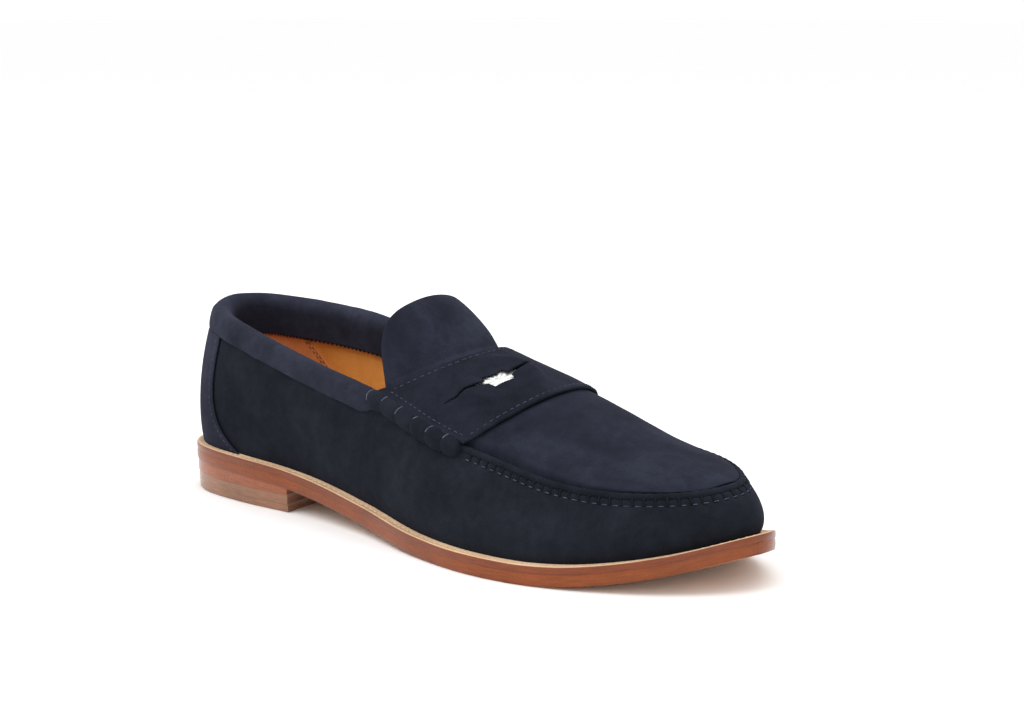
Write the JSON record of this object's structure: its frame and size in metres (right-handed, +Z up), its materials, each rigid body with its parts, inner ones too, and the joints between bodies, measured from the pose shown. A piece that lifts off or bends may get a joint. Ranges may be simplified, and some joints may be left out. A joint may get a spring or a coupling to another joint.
{
  "type": "penny loafer",
  "caption": "Slip-on moccasin shoe with a slotted saddle strap that holds a coin, rolled strap ends, a free tongue, a welted leather sole and a low stacked heel.",
  "frame": {"origin": "on the ground, midway between heel and toe and midway between the sole's widest points", "axes": "+X towards the toe, +Y towards the inner side of the foot, +Z up"},
  "size_m": [0.3, 0.1078, 0.0918],
  "materials": {
    "suede": "matt napped suede",
    "apron_suede": "matt napped suede",
    "lining_leather": "smooth vegetable-tanned leather",
    "heel_grip_leather": "brushed leather",
    "insole_leather": "raw leather board",
    "welt_leather": "natural leather strip",
    "sole_leather": "waxed edge",
    "heel_leather": "waxed stacked leather",
    "heel_rubber": "matt rubber",
    "cork": "granular cork",
    "shank_steel": "plain spring steel",
    "brass_pin": "plain brass",
    "foam": "open-cell foam",
    "stiffener": "pressed fibre board",
    "coin_metal": "bright struck metal"
  },
  "bodies": {
    "shoe": {"outsole": "sole_leather", "welt": "welt_leather", "cork_filler": "cork", "shank": "shank_steel", "insole": "insole_leather", "sock_liner": "lining_leather", "heel_wedge_lift": "heel_leather", "heel_lift": "heel_leather", "top_piece_leather": "heel_leather", "top_piece_rubber": "heel_rubber", "heel_pin_1": "brass_pin", "heel_pin_2": "brass_pin", "heel_pin_3": "brass_pin", "heel_pin_4": "brass_pin", "heel_pin_5": "brass_pin", "upper_wall": "suede", "backstay": "suede", "topline_collar": "suede", "collar_padding": "foam", "heel_counter": "stiffener", "heel_lining": "heel_grip_leather", "quarter_lining_outer": "lining_leather", "quarter_lining_inner": "lining_leather", "toe_puff": "stiffener", "vamp_lining": "lining_leather", "apron": "apron_suede", "apron_lining": "lining_leather", "saddle_strap": "apron_suede", "beefroll_outer": "suede", "beefroll_inner": "suede"},
    "tongue": {"tongue": "apron_suede", "tongue_lining": "lining_leather"},
    "coin": {"coin": "coin_metal"}
  },
  "joints": [
    {"name": "tongue_flex", "type": "hinge", "parent": "shoe", "child": "tongue", "pos_m": [0.0126, 0, 0.0698], "axis": [0, 1, 0], "range_deg": [-6, 28], "stiffness_Nm_per_rad": 0.15},
    {"name": "coin_slide", "type": "slide", "parent": "shoe", "child": "coin", "axis": [-0.9342, 0.16, 0.3187], "range_m": [-0.003, 0.003]}
  ]
}
